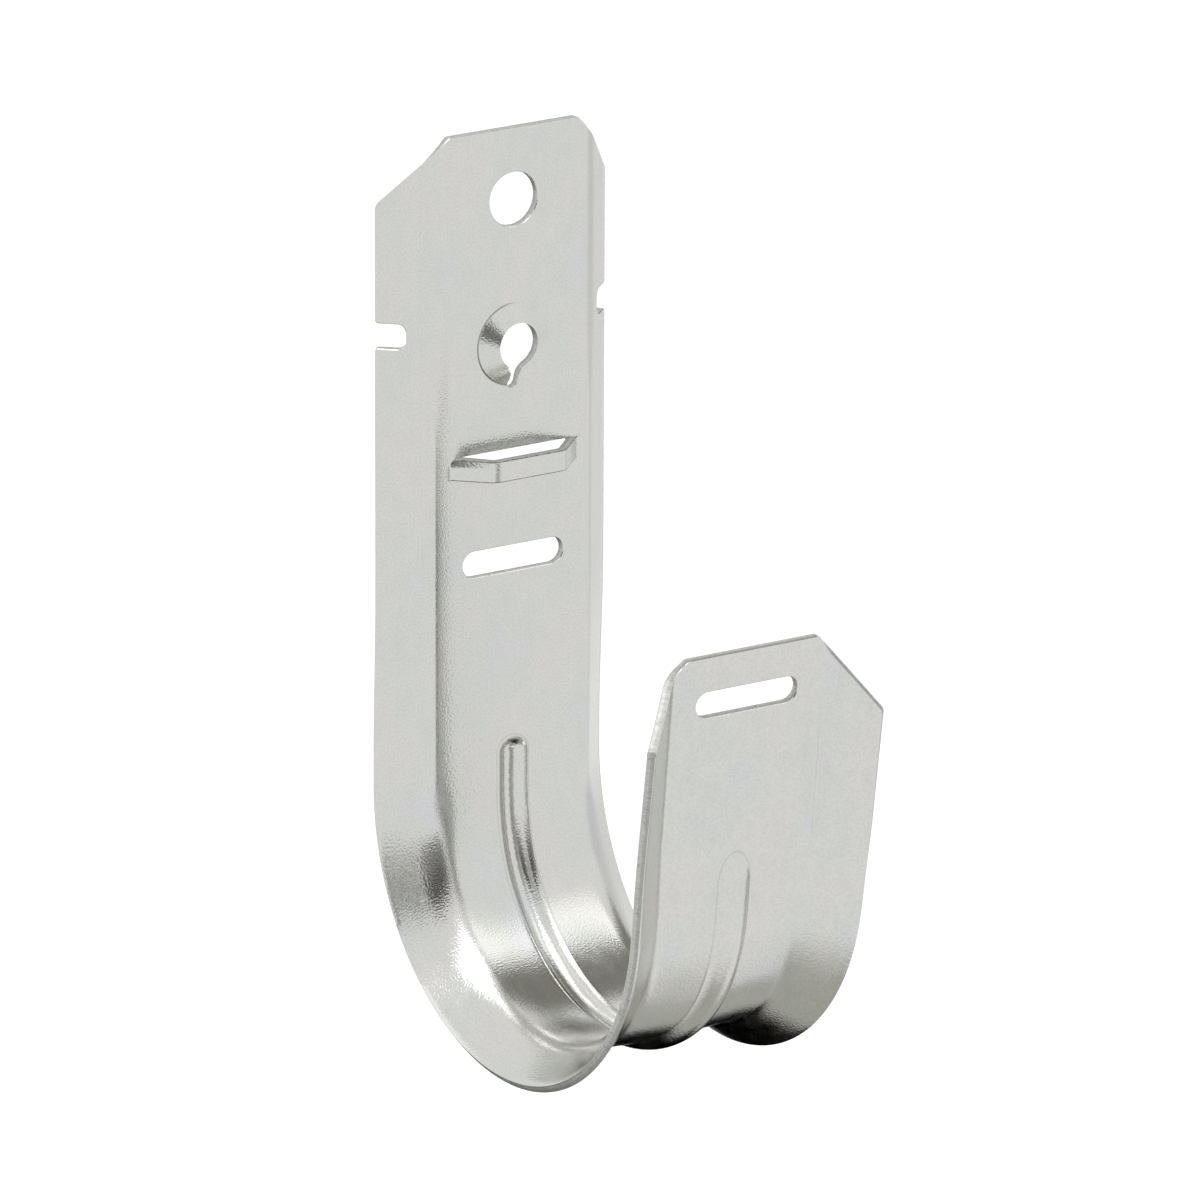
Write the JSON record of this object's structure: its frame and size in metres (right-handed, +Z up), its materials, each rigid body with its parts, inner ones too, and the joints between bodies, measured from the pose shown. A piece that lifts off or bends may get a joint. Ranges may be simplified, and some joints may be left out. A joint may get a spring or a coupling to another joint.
{
  "type": "j hook cable support",
  "caption": "Pressed sheet-steel J hook with flared sides, a centre rib, a screw hole and tie slots, fixed to a wall to carry a bundle of cables.",
  "frame": {"origin": "on the axis of the mounting hole, at the middle of the sheet's thickness", "axes": "+Z up, +X along the cables, +Y into the wall behind the back plate, so the lip stands toward -Y"},
  "size_m": [0.0372, 0.0693, 0.1233],
  "materials": {
    "galvanised_steel": "satin zinc coating, spangled and faintly streaked along the strip, bright at the sheared edges"
  },
  "bodies": {
    "root": {"j_hook": "galvanised_steel"}
  },
  "joints": []
}
